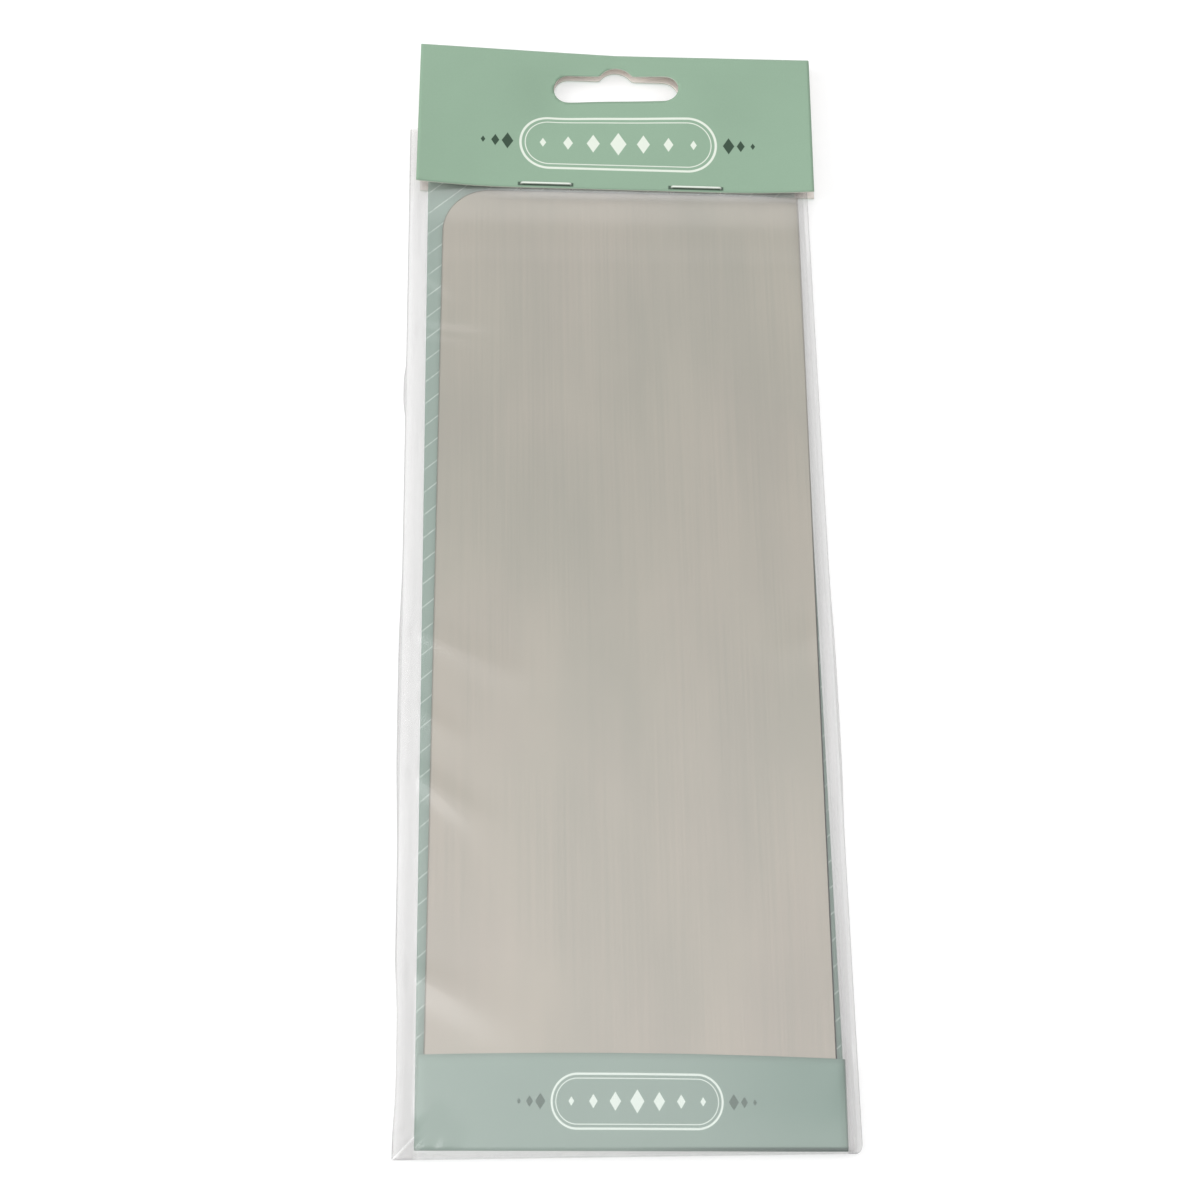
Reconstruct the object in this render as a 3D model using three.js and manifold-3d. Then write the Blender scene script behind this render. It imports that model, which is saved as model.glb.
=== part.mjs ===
// A flat steel cake side scraper in its hang-sell pack: the blade, a folded insert card that pockets its
// lower end, a clear film bag, and a folded header card held over the bag's mouth by two wire staples.
// Millimetres. The pack lies on its back: +X to the right, +Y towards the header, +Z out of the printed face.
import * as THREE from 'three';
import { mergeVertices } from 'three/addons/utils/BufferGeometryUtils.js';
import Module from 'manifold-3d';

const wasm = await Module();
wasm.setup();

// Steel blade
const bladeWidth = 90;
const bladeLength = 230;
const bladeThickness = 1.0;
const bladeCornerRadius = 12;
const bladeEdgeBreak = 0.12;
const bladeShift = 0.4;

// How far the blade and the header lie askew in the bag, in degrees
const packLean = -0.66;

// Folded insert card
const cardThickness = 0.35;
const insertMargin = 3.1;
const insertShift = 0.75;
const insertTuck = 8;
const flapHeight = 20;
const foldSkew = -0.9;
const pocketSlack = 3.3;

// Clear film bag
const filmThickness = 0.12;
const filmRise = 0.06;
const shoulderGap = 0.45;
const sideFall = 2.0;
const weldWidth = 0.35;
const bottomDepth = 1.1;
const bottomGap = 0.35;
const bagTuck = 17.5;

// Header card
const headerHeight = 40;
const headerInset = 0.3;
const headerShift = -1.25;
const headerGap = 0.1;
const headerFoldDepth = 1.2;
const cornerLiftLeft = 2.2;
const cornerLiftRight = 1.8;
const foldLiftLeft = 3.3;
const foldLiftRight = 0.9;

// Hang slot
const slotWidth = 32;
const slotHeight = 7.5;
const slotDrop = 10.5;
const pegRadius = 4.75;
const pegRaise = 1.45;

// Wire staples
const stapleCrown = 12.9;
const stapleWireWidth = 0.7;
const stapleWireThickness = 0.5;
const stapleBend = 0.15;
const stapleFoot = 2.6;
const stapleInset = 1.1;
const stapleLeftShare = -0.358;
const stapleRightShare = 0.4;

// Clearances
const layerGap = 0.1;
const seamGap = 0.06;
const holeGap = 0.1;
const slitGap = 0.25;
const cutReach = 20;

// Counts of facets
const arcSteps = 8;
const shoulderSteps = 6;
const panelRows = 5;
const flareSteps = 6;

const rad = THREE.MathUtils.degToRad;

// Layers from the table upwards: each one starts a gap above the last
const zFootTop = stapleWireThickness;
const zHeaderBack = zFootTop + layerGap;
const zBackFilm = zHeaderBack + cardThickness + layerGap;
const zBackFilmTop = zBackFilm + filmThickness;
const zInsert = zBackFilmTop + filmRise + layerGap;
const zInsertTop = zInsert + cardThickness;
const zBlade = zInsertTop + layerGap;
const zBladeTop = zBlade + bladeThickness;
const zFlap = zBladeTop + layerGap;
const zFrontFilm = zFlap + cardThickness + layerGap;
const zFrontFilmTop = zFrontFilm + filmThickness;
const zHeaderFront = zFrontFilmTop + layerGap;
const zCrown = zHeaderFront + cardThickness + layerGap;

// Positions along the pack, from the bag's bottom edge
const insertWidth = bladeWidth + insertMargin;
const insertLeft = insertShift - insertWidth / 2;
const insertRight = insertShift + insertWidth / 2;
const foldSlope = Math.tan(rad(foldSkew));
const foldRise = (zFlap - zInsertTop) / 2;
const foldReach = foldRise + cardThickness;
const yFoldMid = filmThickness + bottomGap + Math.abs(foldSlope) * insertWidth / 2;
const foldLine = (x) => yFoldMid + foldSlope * (x - insertShift);
const yBladeBottom = yFoldMid + pocketSlack;
const leanSlope = -Math.tan(rad(packLean));
const yBladeTop = yBladeBottom + bladeLength * Math.cos(rad(packLean));
const xBladeTop = bladeShift + bladeLength * -Math.sin(rad(packLean));
const yHeaderLow = yBladeTop + headerGap;
const yInsertTop = yHeaderLow + insertTuck;
const yMouth = yHeaderLow + bagTuck;

// The bag is as wide as what lies in it, with a fall to the weld on each side
const bladeReach = Math.max(bladeShift, xBladeTop) + bladeWidth / 2;
const bladeLeftReach = Math.min(bladeShift, xBladeTop) - bladeWidth / 2;
const shoulderRight = Math.max(insertRight, bladeReach) + shoulderGap;
const shoulderLeft = Math.min(insertLeft, bladeLeftReach) - shoulderGap;
const bagHalf = Math.max(shoulderRight, -shoulderLeft) + sideFall;
const filmHalf = bagHalf - weldWidth - seamGap;
const yFilmStart = bottomDepth + filmThickness;

// Header
const headerHalf = bagHalf - headerInset;
const headerFoldStart = headerHeight - headerFoldDepth - cardThickness;
const xHeader = xBladeTop + headerShift;
const stapleCentres = [stapleLeftShare * headerHalf, stapleRightShare * headerHalf];
const legOffset = stapleCrown / 2 - stapleWireThickness / 2;
const flareStart = Math.max(...stapleCentres.map((x) => Math.abs(x))) + stapleCrown / 2 + stapleWireWidth;

// A closed sheet: stations[i][j] holds the near and the far point of the sheet's wall
function sheetSolid(stations) {
  const rows = stations.length;
  const cols = stations[0].length;
  const positions = [];
  for (const side of [0, 1]) {
    for (const station of stations) {
      for (const pair of station) {
        positions.push(pair[side].x, pair[side].y, pair[side].z);
      }
    }
  }
  const near = (i, j) => i * cols + j;
  const far = (i, j) => rows * cols + i * cols + j;
  const index = [];
  for (let i = 0; i < rows - 1; i += 1) {
    for (let j = 0; j < cols - 1; j += 1) {
      index.push(far(i, j), far(i, j + 1), far(i + 1, j + 1));
      index.push(far(i, j), far(i + 1, j + 1), far(i + 1, j));
      index.push(near(i, j), near(i + 1, j + 1), near(i, j + 1));
      index.push(near(i, j), near(i + 1, j), near(i + 1, j + 1));
    }
  }
  const last = rows - 1;
  for (let j = 0; j < cols - 1; j += 1) {
    index.push(far(0, j + 1), far(0, j), near(0, j));
    index.push(far(0, j + 1), near(0, j), near(0, j + 1));
    index.push(far(last, j), far(last, j + 1), near(last, j + 1));
    index.push(far(last, j), near(last, j + 1), near(last, j));
  }
  const end = cols - 1;
  for (let i = 0; i < rows - 1; i += 1) {
    index.push(far(i, 0), far(i + 1, 0), near(i + 1, 0));
    index.push(far(i, 0), near(i + 1, 0), near(i, 0));
    index.push(far(i + 1, end), far(i, end), near(i, end));
    index.push(far(i + 1, end), near(i, end), near(i + 1, end));
  }
  const geometry = new THREE.BufferGeometry();
  geometry.setAttribute('position', new THREE.Float32BufferAttribute(positions, 3));
  geometry.setIndex(index);
  return faceOut(geometry);
}

// Turns the faces the other way round where they enclose a negative volume
function faceOut(geometry) {
  const p = geometry.getAttribute('position');
  const index = geometry.getIndex().array;
  const a = new THREE.Vector3();
  const b = new THREE.Vector3();
  const c = new THREE.Vector3();
  let volume = 0;
  for (let k = 0; k < index.length; k += 3) {
    a.fromBufferAttribute(p, index[k]);
    b.fromBufferAttribute(p, index[k + 1]);
    c.fromBufferAttribute(p, index[k + 2]);
    volume += a.dot(b.cross(c));
  }
  if (volume < 0) {
    geometry.setIndex(Array.from(index).reverse());
  }
  return geometry;
}

function toManifold(geometry) {
  const bare = new THREE.BufferGeometry();
  bare.setAttribute('position', geometry.getAttribute('position').clone());
  if (geometry.getIndex()) {
    bare.setIndex(geometry.getIndex().clone());
  }
  const merged = mergeVertices(bare, 1e-4);
  const mesh = new wasm.Mesh({
    numProp: 3,
    vertProperties: new Float32Array(merged.getAttribute('position').array),
    triVerts: new Uint32Array(merged.getIndex().array),
  });
  return new wasm.Manifold(mesh);
}

function cut(geometry, cutters) {
  let solid = toManifold(geometry);
  for (const cutter of cutters) {
    solid = solid.subtract(toManifold(cutter));
  }
  const mesh = solid.getMesh();
  const out = new THREE.BufferGeometry();
  out.setAttribute('position', new THREE.Float32BufferAttribute(mesh.vertProperties, 3));
  out.setIndex(Array.from(mesh.triVerts));
  return out;
}

const at = (x, y, z) => new THREE.Vector3(x, y, z);

// A rounded fold between two levels: wall points from the lower level round to the upper one
function foldStation(x, yStart, zLow, zHigh, depth, thickness, steps) {
  const mid = (zLow + zHigh) / 2;
  const rise = (zHigh - zLow) / 2;
  const pairs = [];
  for (let k = 0; k <= steps; k += 1) {
    const turn = -Math.PI / 2 + Math.PI * k / steps;
    const near = at(x, yStart + depth * Math.cos(turn), mid + rise * Math.sin(turn));
    const normal = at(0, Math.cos(turn) * rise, Math.sin(turn) * Math.abs(depth));
    normal.y *= Math.sign(depth);
    normal.normalize();
    pairs.push([near, near.clone().addScaledVector(normal, thickness)]);
  }
  return pairs;
}

// A flat plate between a lower and an upper edge line, both given along X
function flatPlate(left, right, lowEdge, highEdge, z, thickness) {
  const wall = (x, y) => [at(x, y, z), at(x, y, z + thickness)];
  const stations = [lowEdge, highEdge].map((edge) => [wall(left, edge(left)), wall(right, edge(right))]);
  return sheetSolid(stations);
}

function box(xSize, ySize, zSize, x, y, z) {
  return new THREE.BoxGeometry(xSize, ySize, zSize).translate(x, y, z);
}

// Header and staples are drawn straight, then laid askew over the mouth
function layHeader(geometry) {
  return geometry.rotateZ(rad(packLean)).translate(xHeader, yHeaderLow, 0);
}

function headerPoint(x, y) {
  return at(x, y, 0).applyAxisAngle(at(0, 0, 1), rad(packLean)).add(at(xHeader, yHeaderLow, 0));
}

function bladeGeometry() {
  const half = bladeWidth / 2;
  const r = bladeCornerRadius;
  const outline = new THREE.Shape();
  outline.moveTo(-half + r, 0);
  outline.lineTo(half, 0);
  outline.lineTo(half, bladeLength);
  outline.lineTo(-half + r, bladeLength);
  outline.absarc(-half + r, bladeLength - r, r, Math.PI / 2, Math.PI, false);
  outline.lineTo(-half, r);
  outline.absarc(-half + r, r, r, Math.PI, 1.5 * Math.PI, false);
  const geometry = new THREE.ExtrudeGeometry(outline, {
    depth: bladeThickness - 2 * bladeEdgeBreak,
    bevelEnabled: true,
    bevelThickness: bladeEdgeBreak,
    bevelSize: bladeEdgeBreak,
    bevelOffset: -bladeEdgeBreak,
    bevelSegments: 1,
    curveSegments: arcSteps,
  });
  geometry.rotateZ(rad(packLean));
  return geometry.translate(bladeShift, yBladeBottom, zBlade + bladeEdgeBreak);
}

// The tear path of each staple leg through what it pierces, open towards the mouth
function legSlits() {
  const slits = [];
  const width = stapleWireThickness + 2 * slitGap;
  for (const centre of stapleCentres) {
    for (const side of [-1, 1]) {
      const leg = headerPoint(centre + side * legOffset, stapleInset);
      const low = leg.y - stapleWireWidth / 2 - slitGap;
      slits.push(box(width, cutReach, cutReach, leg.x, low + cutReach / 2, zBlade));
    }
  }
  return slits;
}

function insertBackGeometry() {
  const low = (x) => foldLine(x) + foldReach + seamGap;
  const plate = flatPlate(insertLeft, insertRight, low, () => yInsertTop, zInsert, cardThickness);
  return cut(plate, legSlits());
}

function insertFoldGeometry() {
  const station = (x) => {
    const start = foldLine(x) + foldReach;
    return foldStation(x, start, zInsertTop, zFlap, -foldRise, cardThickness, arcSteps);
  };
  return sheetSolid([station(insertLeft), station(insertRight)]);
}

function insertFlapGeometry() {
  const low = (x) => foldLine(x) + foldReach + seamGap;
  const high = (x) => foldLine(x) + flapHeight;
  return flatPlate(insertLeft, insertRight, low, high, zFlap, cardThickness);
}

// Height of the front film's underside: level over the contents, then down to the weld on each side
function frontFilmUnder(x) {
  const shoulder = x > 0 ? shoulderRight : shoulderLeft;
  const edge = x > 0 ? filmHalf : -filmHalf;
  const share = THREE.MathUtils.clamp((x - shoulder) / (edge - shoulder), 0, 1);
  const low = zBackFilmTop + filmRise + layerGap;
  return low + (zFrontFilm - low) * (1 + Math.cos(Math.PI * share)) / 2;
}

function filmColumns() {
  const columns = [];
  for (let k = 0; k <= shoulderSteps; k += 1) {
    columns.push(-filmHalf + (shoulderLeft + filmHalf) * k / shoulderSteps);
  }
  for (let k = 0; k <= shoulderSteps; k += 1) {
    columns.push(shoulderRight + (filmHalf - shoulderRight) * k / shoulderSteps);
  }
  return columns;
}

function frontFilmGeometry() {
  const step = seamGap / 10;
  const station = (y) => filmColumns().map((x) => {
    const slope = (frontFilmUnder(x + step) - frontFilmUnder(x - step)) / (2 * step);
    const normal = at(-slope, 0, 1).normalize();
    const near = at(x, y, frontFilmUnder(x));
    return [near, near.clone().addScaledVector(normal, filmThickness)];
  });
  return cut(sheetSolid([station(yFilmStart + seamGap), station(yMouth)]), legSlits());
}

// The back film lies flat and rises a little where the header's back panel runs under it
function backFilmGeometry() {
  const rampEnd = yHeaderLow - headerHalf * Math.abs(leanSlope) - insertTuck;
  const rampStart = rampEnd - insertTuck;
  const wall = (x, y, z) => [at(x, y, z), at(x, y, z + filmThickness)];
  const station = (y, z) => [wall(-filmHalf, y, z), wall(filmHalf, y, z)];
  const sheet = sheetSolid([
    station(yFilmStart + seamGap, zBackFilm),
    station(rampStart, zBackFilm),
    station(rampEnd, zBackFilm + filmRise),
    station(yMouth, zBackFilm + filmRise),
  ]);
  return cut(sheet, legSlits());
}

function bottomFoldGeometry() {
  const stations = filmColumns().map((x) => (
    foldStation(x, yFilmStart, zBackFilmTop, frontFilmUnder(x), -bottomDepth, filmThickness, arcSteps)
  ));
  return sheetSolid(stations);
}

function weldGeometry(side) {
  const height = filmRise + layerGap + 2 * filmThickness;
  const length = yMouth;
  const x = side * (bagHalf - weldWidth / 2);
  return box(weldWidth, length, height, x, length / 2, zBackFilm + height / 2);
}

// The header's front panel curls up towards its ends, more at the lower corners than at the fold
function headerLift(x, share) {
  const curl = THREE.MathUtils.clamp((Math.abs(x) - flareStart) / (headerHalf - flareStart), 0, 1) ** 2;
  const corner = x > 0 ? cornerLiftRight : cornerLiftLeft;
  const fold = x > 0 ? foldLiftRight : foldLiftLeft;
  return curl * THREE.MathUtils.lerp(corner, fold, share);
}

function headerColumns() {
  const right = [];
  for (let k = 0; k <= flareSteps; k += 1) {
    right.push(THREE.MathUtils.lerp(flareStart, headerHalf, k / flareSteps));
  }
  return [...right.map((x) => -x).reverse(), ...right];
}

function slotGeometry() {
  const half = slotHeight / 2;
  const middle = headerHeight - slotDrop;
  const reach = slotWidth / 2 - half;
  const rise = half - pegRaise;
  const run = Math.sqrt(pegRadius ** 2 - rise ** 2);
  const turn = Math.atan2(rise, run);
  const outline = new THREE.Shape();
  outline.moveTo(-reach, -half);
  outline.lineTo(reach, -half);
  outline.absarc(reach, 0, half, -Math.PI / 2, Math.PI / 2, false);
  outline.lineTo(run, half);
  outline.absarc(0, pegRaise, pegRadius, turn, Math.PI - turn, false);
  outline.lineTo(-reach, half);
  outline.absarc(-reach, 0, half, Math.PI / 2, 1.5 * Math.PI, false);
  const geometry = new THREE.ExtrudeGeometry(outline, {
    depth: 2 * cutReach,
    bevelEnabled: false,
    curveSegments: 2 * arcSteps,
  });
  return geometry.translate(0, middle, -cutReach);
}

function headerCutters() {
  const xSize = stapleWireThickness + 2 * holeGap;
  const ySize = stapleWireWidth + 2 * holeGap;
  const holes = stapleCentres.flatMap((centre) => [-1, 1].map((side) => (
    box(xSize, ySize, 2 * cutReach, centre + side * legOffset, stapleInset, 0)
  )));
  return [slotGeometry(), ...holes];
}

function headerFrontGeometry() {
  const stations = [];
  for (let row = 0; row < panelRows; row += 1) {
    const share = row / (panelRows - 1);
    const y = share * (headerFoldStart - seamGap);
    stations.push(headerColumns().map((x) => {
      const z = zHeaderFront + headerLift(x, share);
      return [at(x, y, z), at(x, y, z + cardThickness)];
    }));
  }
  return layHeader(cut(sheetSolid(stations), headerCutters()));
}

function headerBackGeometry() {
  const high = () => headerFoldStart - seamGap;
  const plate = flatPlate(-headerHalf, headerHalf, () => 0, high, zHeaderBack, cardThickness);
  return layHeader(cut(plate, headerCutters()));
}

function headerFoldGeometry() {
  const low = zHeaderBack + cardThickness;
  const stations = headerColumns().map((x) => {
    const high = zHeaderFront + headerLift(x, 1);
    return foldStation(x, headerFoldStart, low, high, headerFoldDepth, cardThickness, arcSteps);
  });
  return layHeader(sheetSolid(stations));
}

function stapleGeometry(centre) {
  const half = stapleCrown / 2;
  const w = stapleWireThickness;
  const top = zCrown + w;
  const r = stapleBend;
  const outer = r + w;
  const quarter = Math.PI / 2;
  const outline = new THREE.Shape();
  outline.moveTo(-half + stapleFoot, 0);
  outline.lineTo(-half + outer, 0);
  outline.absarc(-half + outer, outer, outer, -quarter, -2 * quarter, true);
  outline.lineTo(-half, top - outer);
  outline.absarc(-half + outer, top - outer, outer, 2 * quarter, quarter, true);
  outline.lineTo(half - outer, top);
  outline.absarc(half - outer, top - outer, outer, quarter, 0, true);
  outline.lineTo(half, outer);
  outline.absarc(half - outer, outer, outer, 0, -quarter, true);
  outline.lineTo(half - stapleFoot, 0);
  outline.lineTo(half - stapleFoot, w);
  outline.lineTo(half - outer, w);
  outline.absarc(half - outer, outer, r, -quarter, 0, false);
  outline.lineTo(half - w, top - outer);
  outline.absarc(half - outer, top - outer, r, 0, quarter, false);
  outline.lineTo(-half + outer, top - w);
  outline.absarc(-half + outer, top - outer, r, quarter, 2 * quarter, false);
  outline.lineTo(-half + w, outer);
  outline.absarc(-half + outer, outer, r, 2 * quarter, 3 * quarter, false);
  outline.lineTo(-half + stapleFoot, w);
  const geometry = new THREE.ExtrudeGeometry(outline, {
    depth: stapleWireWidth,
    bevelEnabled: false,
    curveSegments: arcSteps / 2,
  });
  geometry.rotateX(quarter);
  geometry.translate(centre, stapleInset + stapleWireWidth / 2, 0);
  return layHeader(geometry);
}

const steel = new THREE.MeshStandardMaterial({ color: 0xb9b4a9, roughness: 0.42, metalness: 0.9 });
const insertCard = new THREE.MeshStandardMaterial({ color: 0xa3b8ae, roughness: 0.75, metalness: 0 });
const headerCard = new THREE.MeshStandardMaterial({ color: 0x98b69c, roughness: 0.7, metalness: 0 });
const film = new THREE.MeshStandardMaterial({
  color: 0xf2f3f2,
  roughness: 0.2,
  metalness: 0,
  transparent: true,
  opacity: 0.25,
});
const wire = new THREE.MeshStandardMaterial({ color: 0xd2d3d2, roughness: 0.3, metalness: 0.95 });

const pieces = [
  ['scraper_blade', bladeGeometry(), steel],
  ['insert_back_panel', insertBackGeometry(), insertCard],
  ['insert_fold', insertFoldGeometry(), insertCard],
  ['insert_flap', insertFlapGeometry(), insertCard],
  ['bag_front_film', frontFilmGeometry(), film],
  ['bag_back_film', backFilmGeometry(), film],
  ['bag_left_weld', weldGeometry(-1), film],
  ['bag_right_weld', weldGeometry(1), film],
  ['bag_bottom_fold', bottomFoldGeometry(), film],
  ['header_front_panel', headerFrontGeometry(), headerCard],
  ['header_back_panel', headerBackGeometry(), headerCard],
  ['header_fold', headerFoldGeometry(), headerCard],
  ['staple_left', stapleGeometry(stapleCentres[0]), wire],
  ['staple_right', stapleGeometry(stapleCentres[1]), wire],
];

// The origin is under the middle of the whole pack, on the table
const bounds = new THREE.Box3();
for (const [, geometry] of pieces) {
  geometry.computeBoundingBox();
  bounds.union(geometry.boundingBox);
}
const middle = bounds.getCenter(new THREE.Vector3());
const part = new THREE.Group();
part.name = 'cake_scraper_pack';
for (const [name, geometry, material] of pieces) {
  geometry.translate(-middle.x, -middle.y, -bounds.min.z);
  geometry.computeVertexNormals();
  const mesh = new THREE.Mesh(geometry, material);
  mesh.name = name;
  part.add(mesh);
}

export default part;
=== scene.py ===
import math

import bmesh
import bpy
from mathutils import Matrix, Vector, noise


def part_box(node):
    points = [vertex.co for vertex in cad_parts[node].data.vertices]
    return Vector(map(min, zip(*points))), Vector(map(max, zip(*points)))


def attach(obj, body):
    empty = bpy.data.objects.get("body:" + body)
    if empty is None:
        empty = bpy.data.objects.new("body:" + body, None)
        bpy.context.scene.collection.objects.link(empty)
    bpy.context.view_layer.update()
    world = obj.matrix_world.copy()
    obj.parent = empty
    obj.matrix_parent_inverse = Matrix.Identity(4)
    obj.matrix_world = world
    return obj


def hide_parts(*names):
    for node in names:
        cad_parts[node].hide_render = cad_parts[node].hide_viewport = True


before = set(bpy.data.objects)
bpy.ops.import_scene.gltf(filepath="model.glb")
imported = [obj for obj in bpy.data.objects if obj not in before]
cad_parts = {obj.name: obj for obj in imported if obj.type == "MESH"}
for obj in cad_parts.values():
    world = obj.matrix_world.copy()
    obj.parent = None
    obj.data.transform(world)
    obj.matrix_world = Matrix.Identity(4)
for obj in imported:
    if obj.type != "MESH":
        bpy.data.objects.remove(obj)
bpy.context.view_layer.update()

# Sizes here are millimetres; MM turns them into the frame's metres
MM = 0.001

# Places closer together than this count as one
tolerance = 0.05


def box_mm(node):
    """Lowest and highest corner of a CAD node, in millimetres."""
    low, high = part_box(node)
    return low / MM, high / MM


def colour(red, green, blue):
    """An opaque colour from its 8-bit sRGB values."""
    def linear(value):
        share = value / 255
        return share / 12.92 if share <= 0.04045 else ((share + 0.055) / 1.055) ** 2.4
    return (linear(red), linear(green), linear(blue), 1.0)


# How the contents lie in the bag
pack_lean = math.radians(-0.66)
blade_lean = math.radians(-0.56)
fold_skew = math.radians(0.9)

# Steel blade
blade_width = 90.0
blade_length = 230.0
blade_corner = 12.0
blade_edge_round = 0.4
corner_segments = 28
round_segments = 3

# A face of the blade lies flat where its normal rises above the first share, and is a cut side where it stays
# below the second
flat_share = 0.999
side_share = 0.1

# Card, and the insert's folded flap
card_thickness = 0.35
flap_height = 19.6
flap_lean = math.radians(1.2)
flap_crown = 0.8
flap_bow = 0.05
flap_droop = 0.45
droop_reach = 1.6
insert_columns = 144
flap_rows = 10
insert_fold_rows = 14
insert_panel_rows = 90

# Header card, as its front panel springs away from the back one
corner_lift = {-1: 2.2, 1: 1.8}
fold_lift = {-1: 3.3, 1: 0.9}
flare_start = 27.0
front_lean = -0.3
back_lean = 0.5
back_edge_skew = 0.75
header_fold_depth = 1.95
fold_wrap = 5.4
header_columns = 126
header_panel_rows = 48
header_fold_rows = 16

# Bulge and dip in the header's front panel, which fade over its lowest third and its uppermost sixth
header_bulge = 1.3
bulge_middle = Vector((19.0, 26.0))
bulge_reach = 13.0
header_dip = 1.3
dip_middle = Vector((-15.0, 28.0))
dip_reach = 9.0
edge_fade = 3
fold_fade = 6

# Hang slot
slot_length = 32.0
slot_height = 7.5
slot_above_edge = 29.5
peg_radius = 4.75
peg_raise = 1.45
slot_fillet = 0.6
back_slot_raise = 0.4
outline_rounds = 5

# Film bag
weld_level = 2.1
weld_height = 0.16
shoulder_gap = 0.45
fold_clear = 1.1
slit_half = 0.5
foot_corner = 2.2
corner_squash = 0.6
bag_columns = 83
column_crowding = 0.6
dense_foot = 12.0
dense_foot_rows = 28
bag_rows = 192

# The front film's slow wave, which calms down towards the header, and its swell just below the header
film_wave = 0.16
wave_length = 34.0
calm_start = 84.0
calm_end = 94.0
film_swell = 0.9
swell_middle = 86.0
swell_reach = 11.0

# Soft creases in the front film: start, end, height and half-width
film_creases = [
    (Vector((-47, -20)), Vector((-21, -33)), 0.50, 2.7),
    (Vector((-47, -38)), Vector((-36, -49)), 0.45, 2.4),
    (Vector((-47, -54)), Vector((-27, -70)), 0.55, 3.0),
    (Vector((-47, -99)), Vector((-16, -114)), 0.50, 4.5),
    (Vector((-47, 57)), Vector((-26, 54)), 0.45, 2.2),
    (Vector((-47, 69)), Vector((-38, 61)), 0.35, 1.8),
    (Vector((-47.0, -133.5)), Vector((-41.0, -126.5)), 0.40, 1.7),
    (Vector((-45.0, -136.0)), Vector((-41.0, -130.0)), 0.40, 1.3),
    (Vector((-41.5, -136.0)), Vector((-37.5, -130.5)), 0.35, 1.4),
    (Vector((46, -116)), Vector((39, -133)), 0.45, 3.5),
    (Vector((47, -20)), Vector((33, -28)), 0.20, 4.0),
    (Vector((47, 40)), Vector((30, 34)), 0.20, 4.0),
]

# Folds in the bag's lower left corner, which reach into its weld: start, end, height and half-width
corner_folds = [
    (Vector((-51.2, -137.4)), Vector((-44.8, -131.0)), 0.75, 0.7),
    (Vector((-51.2, -133.4)), Vector((-46.4, -129.6)), 0.45, 0.8),
    (Vector((-48.2, -137.5)), Vector((-43.6, -133.2)), 0.45, 0.7),
]

# Share of its half-width that a crease or fold has at its start, and what it gains up to its end
fold_start_width = 0.7
fold_spread = 0.8

# Where the bag's welded sides wander outwards: side, place along the bag, reach and amount
edge_wanders = [
    (-1, -37, 26, 0.55),
    (-1, 41.5, 5.5, 0.5),
    (-1, -115, 15, -0.6),
    (1, -37, 24, 0.4),
]

# Staple wire
staple_nodes = ("staple_left", "staple_right")
wire_width = 0.52
wire_depth = 0.5
wire_round = 0.14
wire_bend = 0.15
bend_steps = 6
wire_ridge = math.radians(72)
staple_foot = 2.6

# Painted shade where the staples meet the header: a dark line below each crown and at each leg hole
crown_shade_drop = 0.1
crown_shade_end = 0.15
crown_shade_line = (0.42, 0.12)
hole_shift = 0.2
hole_outset = 0.12
hole_drop = 0.1
hole_width = (0.6, 0.28)
hole_height = (0.7, 0.35)
staple_shade_strength = 0.85

# Printed ornament at full size: two rings, a row of lozenges that shrink outwards, and dots beside them
ring_straight = 17.5
outer_ring_radius = 7.4
outer_ring_line = 0.62
inner_ring_radius = 6.2
inner_ring_line = 0.26
lozenge_steps = 3
lozenge_pitch = 6.4
lozenge_half_width = 2.1
lozenge_half_height = 3.3
lozenge_shrink = 0.2
lozenge_rim = (1.04, 0.94)
dot_count = 3
dot_start = 28.2
dot_pitch = 3.1
dot_half_width = 1.5
dot_half_height = 2.3
dot_shrink = 0.3
print_blur = 0.06
header_ornament_middle = (0.6, 13.2)
header_ornament_size = 1.0
flap_ornament_shift = 1.0
flap_ornament_share = 0.52
flap_ornament_size = 0.74

# Hatch lines on the insert card
hatch_slant = math.radians(41)
hatch_spacing = 4.4
hatch_line = 0.24
hatch_blur = 0.1
hatch_strength = (0.26, 0.42)
wear_grain = 1.4
wear_band = (0.30, 0.52)

# The insert's painted shade: a dark line along its fold, and its ink darkened towards the right. Places and
# bands are shares of the fold's wrap, the flap's height or the card's width
fold_shade_place = 0.3
fold_shade_line = (0.36, 0.14)
fold_shade_band = (-0.12, 0.42)
fold_shade_strength = (0.1, 0.75)
right_shade_band = (0.06, 0.52)
right_shade_strength = 0.62
right_shade_fold_band = (0.5, 0.95)
right_shade_fold_loss = 0.5

# Plain white, of light and gloss
white = (1, 1, 1, 1)

# Inks and bare card
insert_ink = colour(143, 162, 152)
# Painted shade on the insert's ink towards its right side
insert_shaded_ink = colour(108, 137, 125)
# Painted shade along the insert's fold
insert_fold_shade = colour(62, 84, 76)
hatch_ink = colour(215, 226, 219)
flap_pale_ink = colour(226, 236, 228)
flap_dark_ink = colour(84, 104, 94)
insert_cut_card = colour(214, 220, 214)
header_ink = colour(141, 169, 146)
header_pale_ink = colour(222, 230, 218)
header_dark_ink = colour(44, 70, 52)
# Painted shade below the staple crowns and in their leg holes
header_staple_shade = colour(40, 58, 46)
header_inside_card = colour(250, 243, 236)
header_cut_card = colour(206, 212, 198)

# Card fibre: its fine and cloudy grain with the share of each, its relief as depth and strength, how far it
# darkens and lightens ink and bare card, and roughness as a base and what the fibre adds
fibre_grain = 2.6
fibre_share = 0.6
cloud_grain = 0.09
cloud_share = 0.4
card_relief = (0.02, 0.25)
ink_dark = 0.92
ink_light = 1.09
bare_dark = 0.9
print_rough = (0.52, 0.18)
bare_rough = (0.7, 0.15)
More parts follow.
